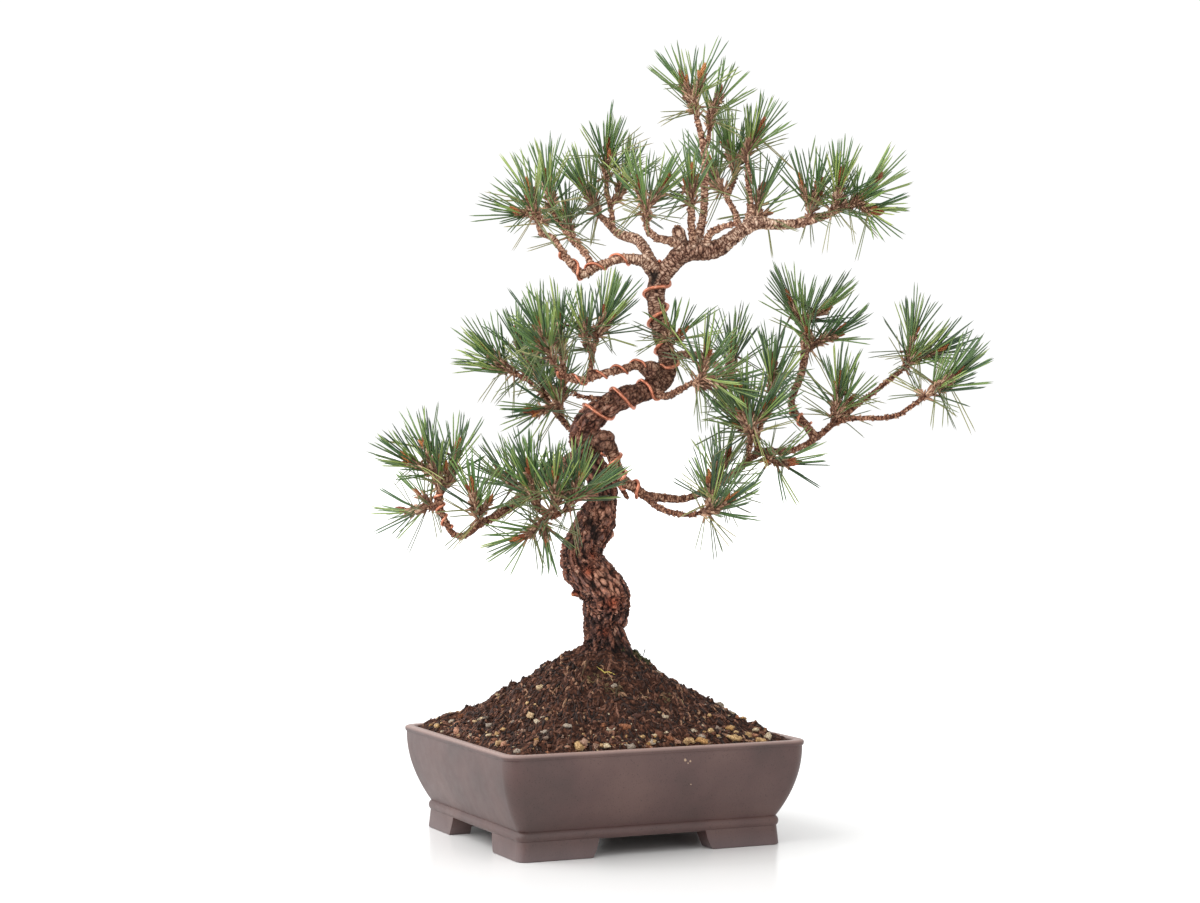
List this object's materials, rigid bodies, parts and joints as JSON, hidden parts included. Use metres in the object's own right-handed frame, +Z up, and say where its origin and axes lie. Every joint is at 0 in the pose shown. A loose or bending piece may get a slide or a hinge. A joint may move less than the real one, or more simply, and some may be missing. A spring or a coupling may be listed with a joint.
{
  "type": "bonsai tree",
  "caption": "Japanese black pine bonsai: bent trunk with wired branches and needle sprays, standing in a soil mound in an unglazed clay pot on bracket feet.",
  "frame": {"origin": "middle of the whole tree's plan, on the surface that the pot's feet stand on", "axes": "+Z up along the tree's height, +X along the pot's long side towards the tree's long right branch, +Y towards the back"},
  "size_m": [0.507, 0.3402, 0.7077],
  "materials": {
    "clay": "satin",
    "mesh": "matte",
    "soil": "matte",
    "bark": "matte",
    "wire": "satin",
    "needles": "satin"
  },
  "bodies": {
    "root": {"pot": "clay", "screen_left": "mesh", "screen_right": "mesh", "soil": "soil", "wood": "bark", "wire_trunk": "wire", "wire_low_right": "wire", "wire_low_left": "wire", "wire_far_left": "wire", "wire_mid_left": "wire", "wire_top_left": "wire", "wire_riser": "wire", "spray_apex_left": "needles", "spray_apex_right": "needles", "spray_upper_right": "needles", "spray_upper_right_left": "needles", "spray_upper_right_back": "needles", "spray_upper_right_low": "needles", "spray_top_right_left": "needles", "spray_top_right_middle": "needles", "spray_top_right_end": "needles", "spray_top_left_end": "needles", "spray_top_left_up": "needles", "spray_top_left_back": "needles", "spray_top_back_left": "needles", "spray_top_back_up": "needles", "spray_top_back_right": "needles", "spray_top_front": "needles", "spray_top_twig": "needles", "spray_mid_left_end": "needles", "spray_mid_left_back": "needles", "spray_mid_left_centre": "needles", "spray_mid_left_inner": "needles", "spray_mid_left_front": "needles", "spray_mid_left_top": "needles", "spray_mid_centre_left": "needles", "spray_mid_centre_right": "needles", "spray_far_left_up": "needles", "spray_far_left_inner": "needles", "spray_far_left_low": "needles", "spray_low_left_knee": "needles", "spray_low_left_out": "needles", "spray_low_left_up": "needles", "spray_low_left_front": "needles", "spray_low_left_middle": "needles", "spray_low_left_down": "needles", "spray_front_right": "needles", "spray_trunk_right": "needles", "spray_back_right": "needles", "spray_middle_right": "needles", "spray_right_front": "needles", "spray_right_inner": "needles", "spray_right_low": "needles", "spray_riser_top": "needles", "spray_riser_side": "needles", "spray_right_rise": "needles", "spray_far_right_up": "needles", "spray_far_right_end": "needles", "spray_low_right_end": "needles", "spray_low_right_top": "needles"}
  },
  "joints": []
}
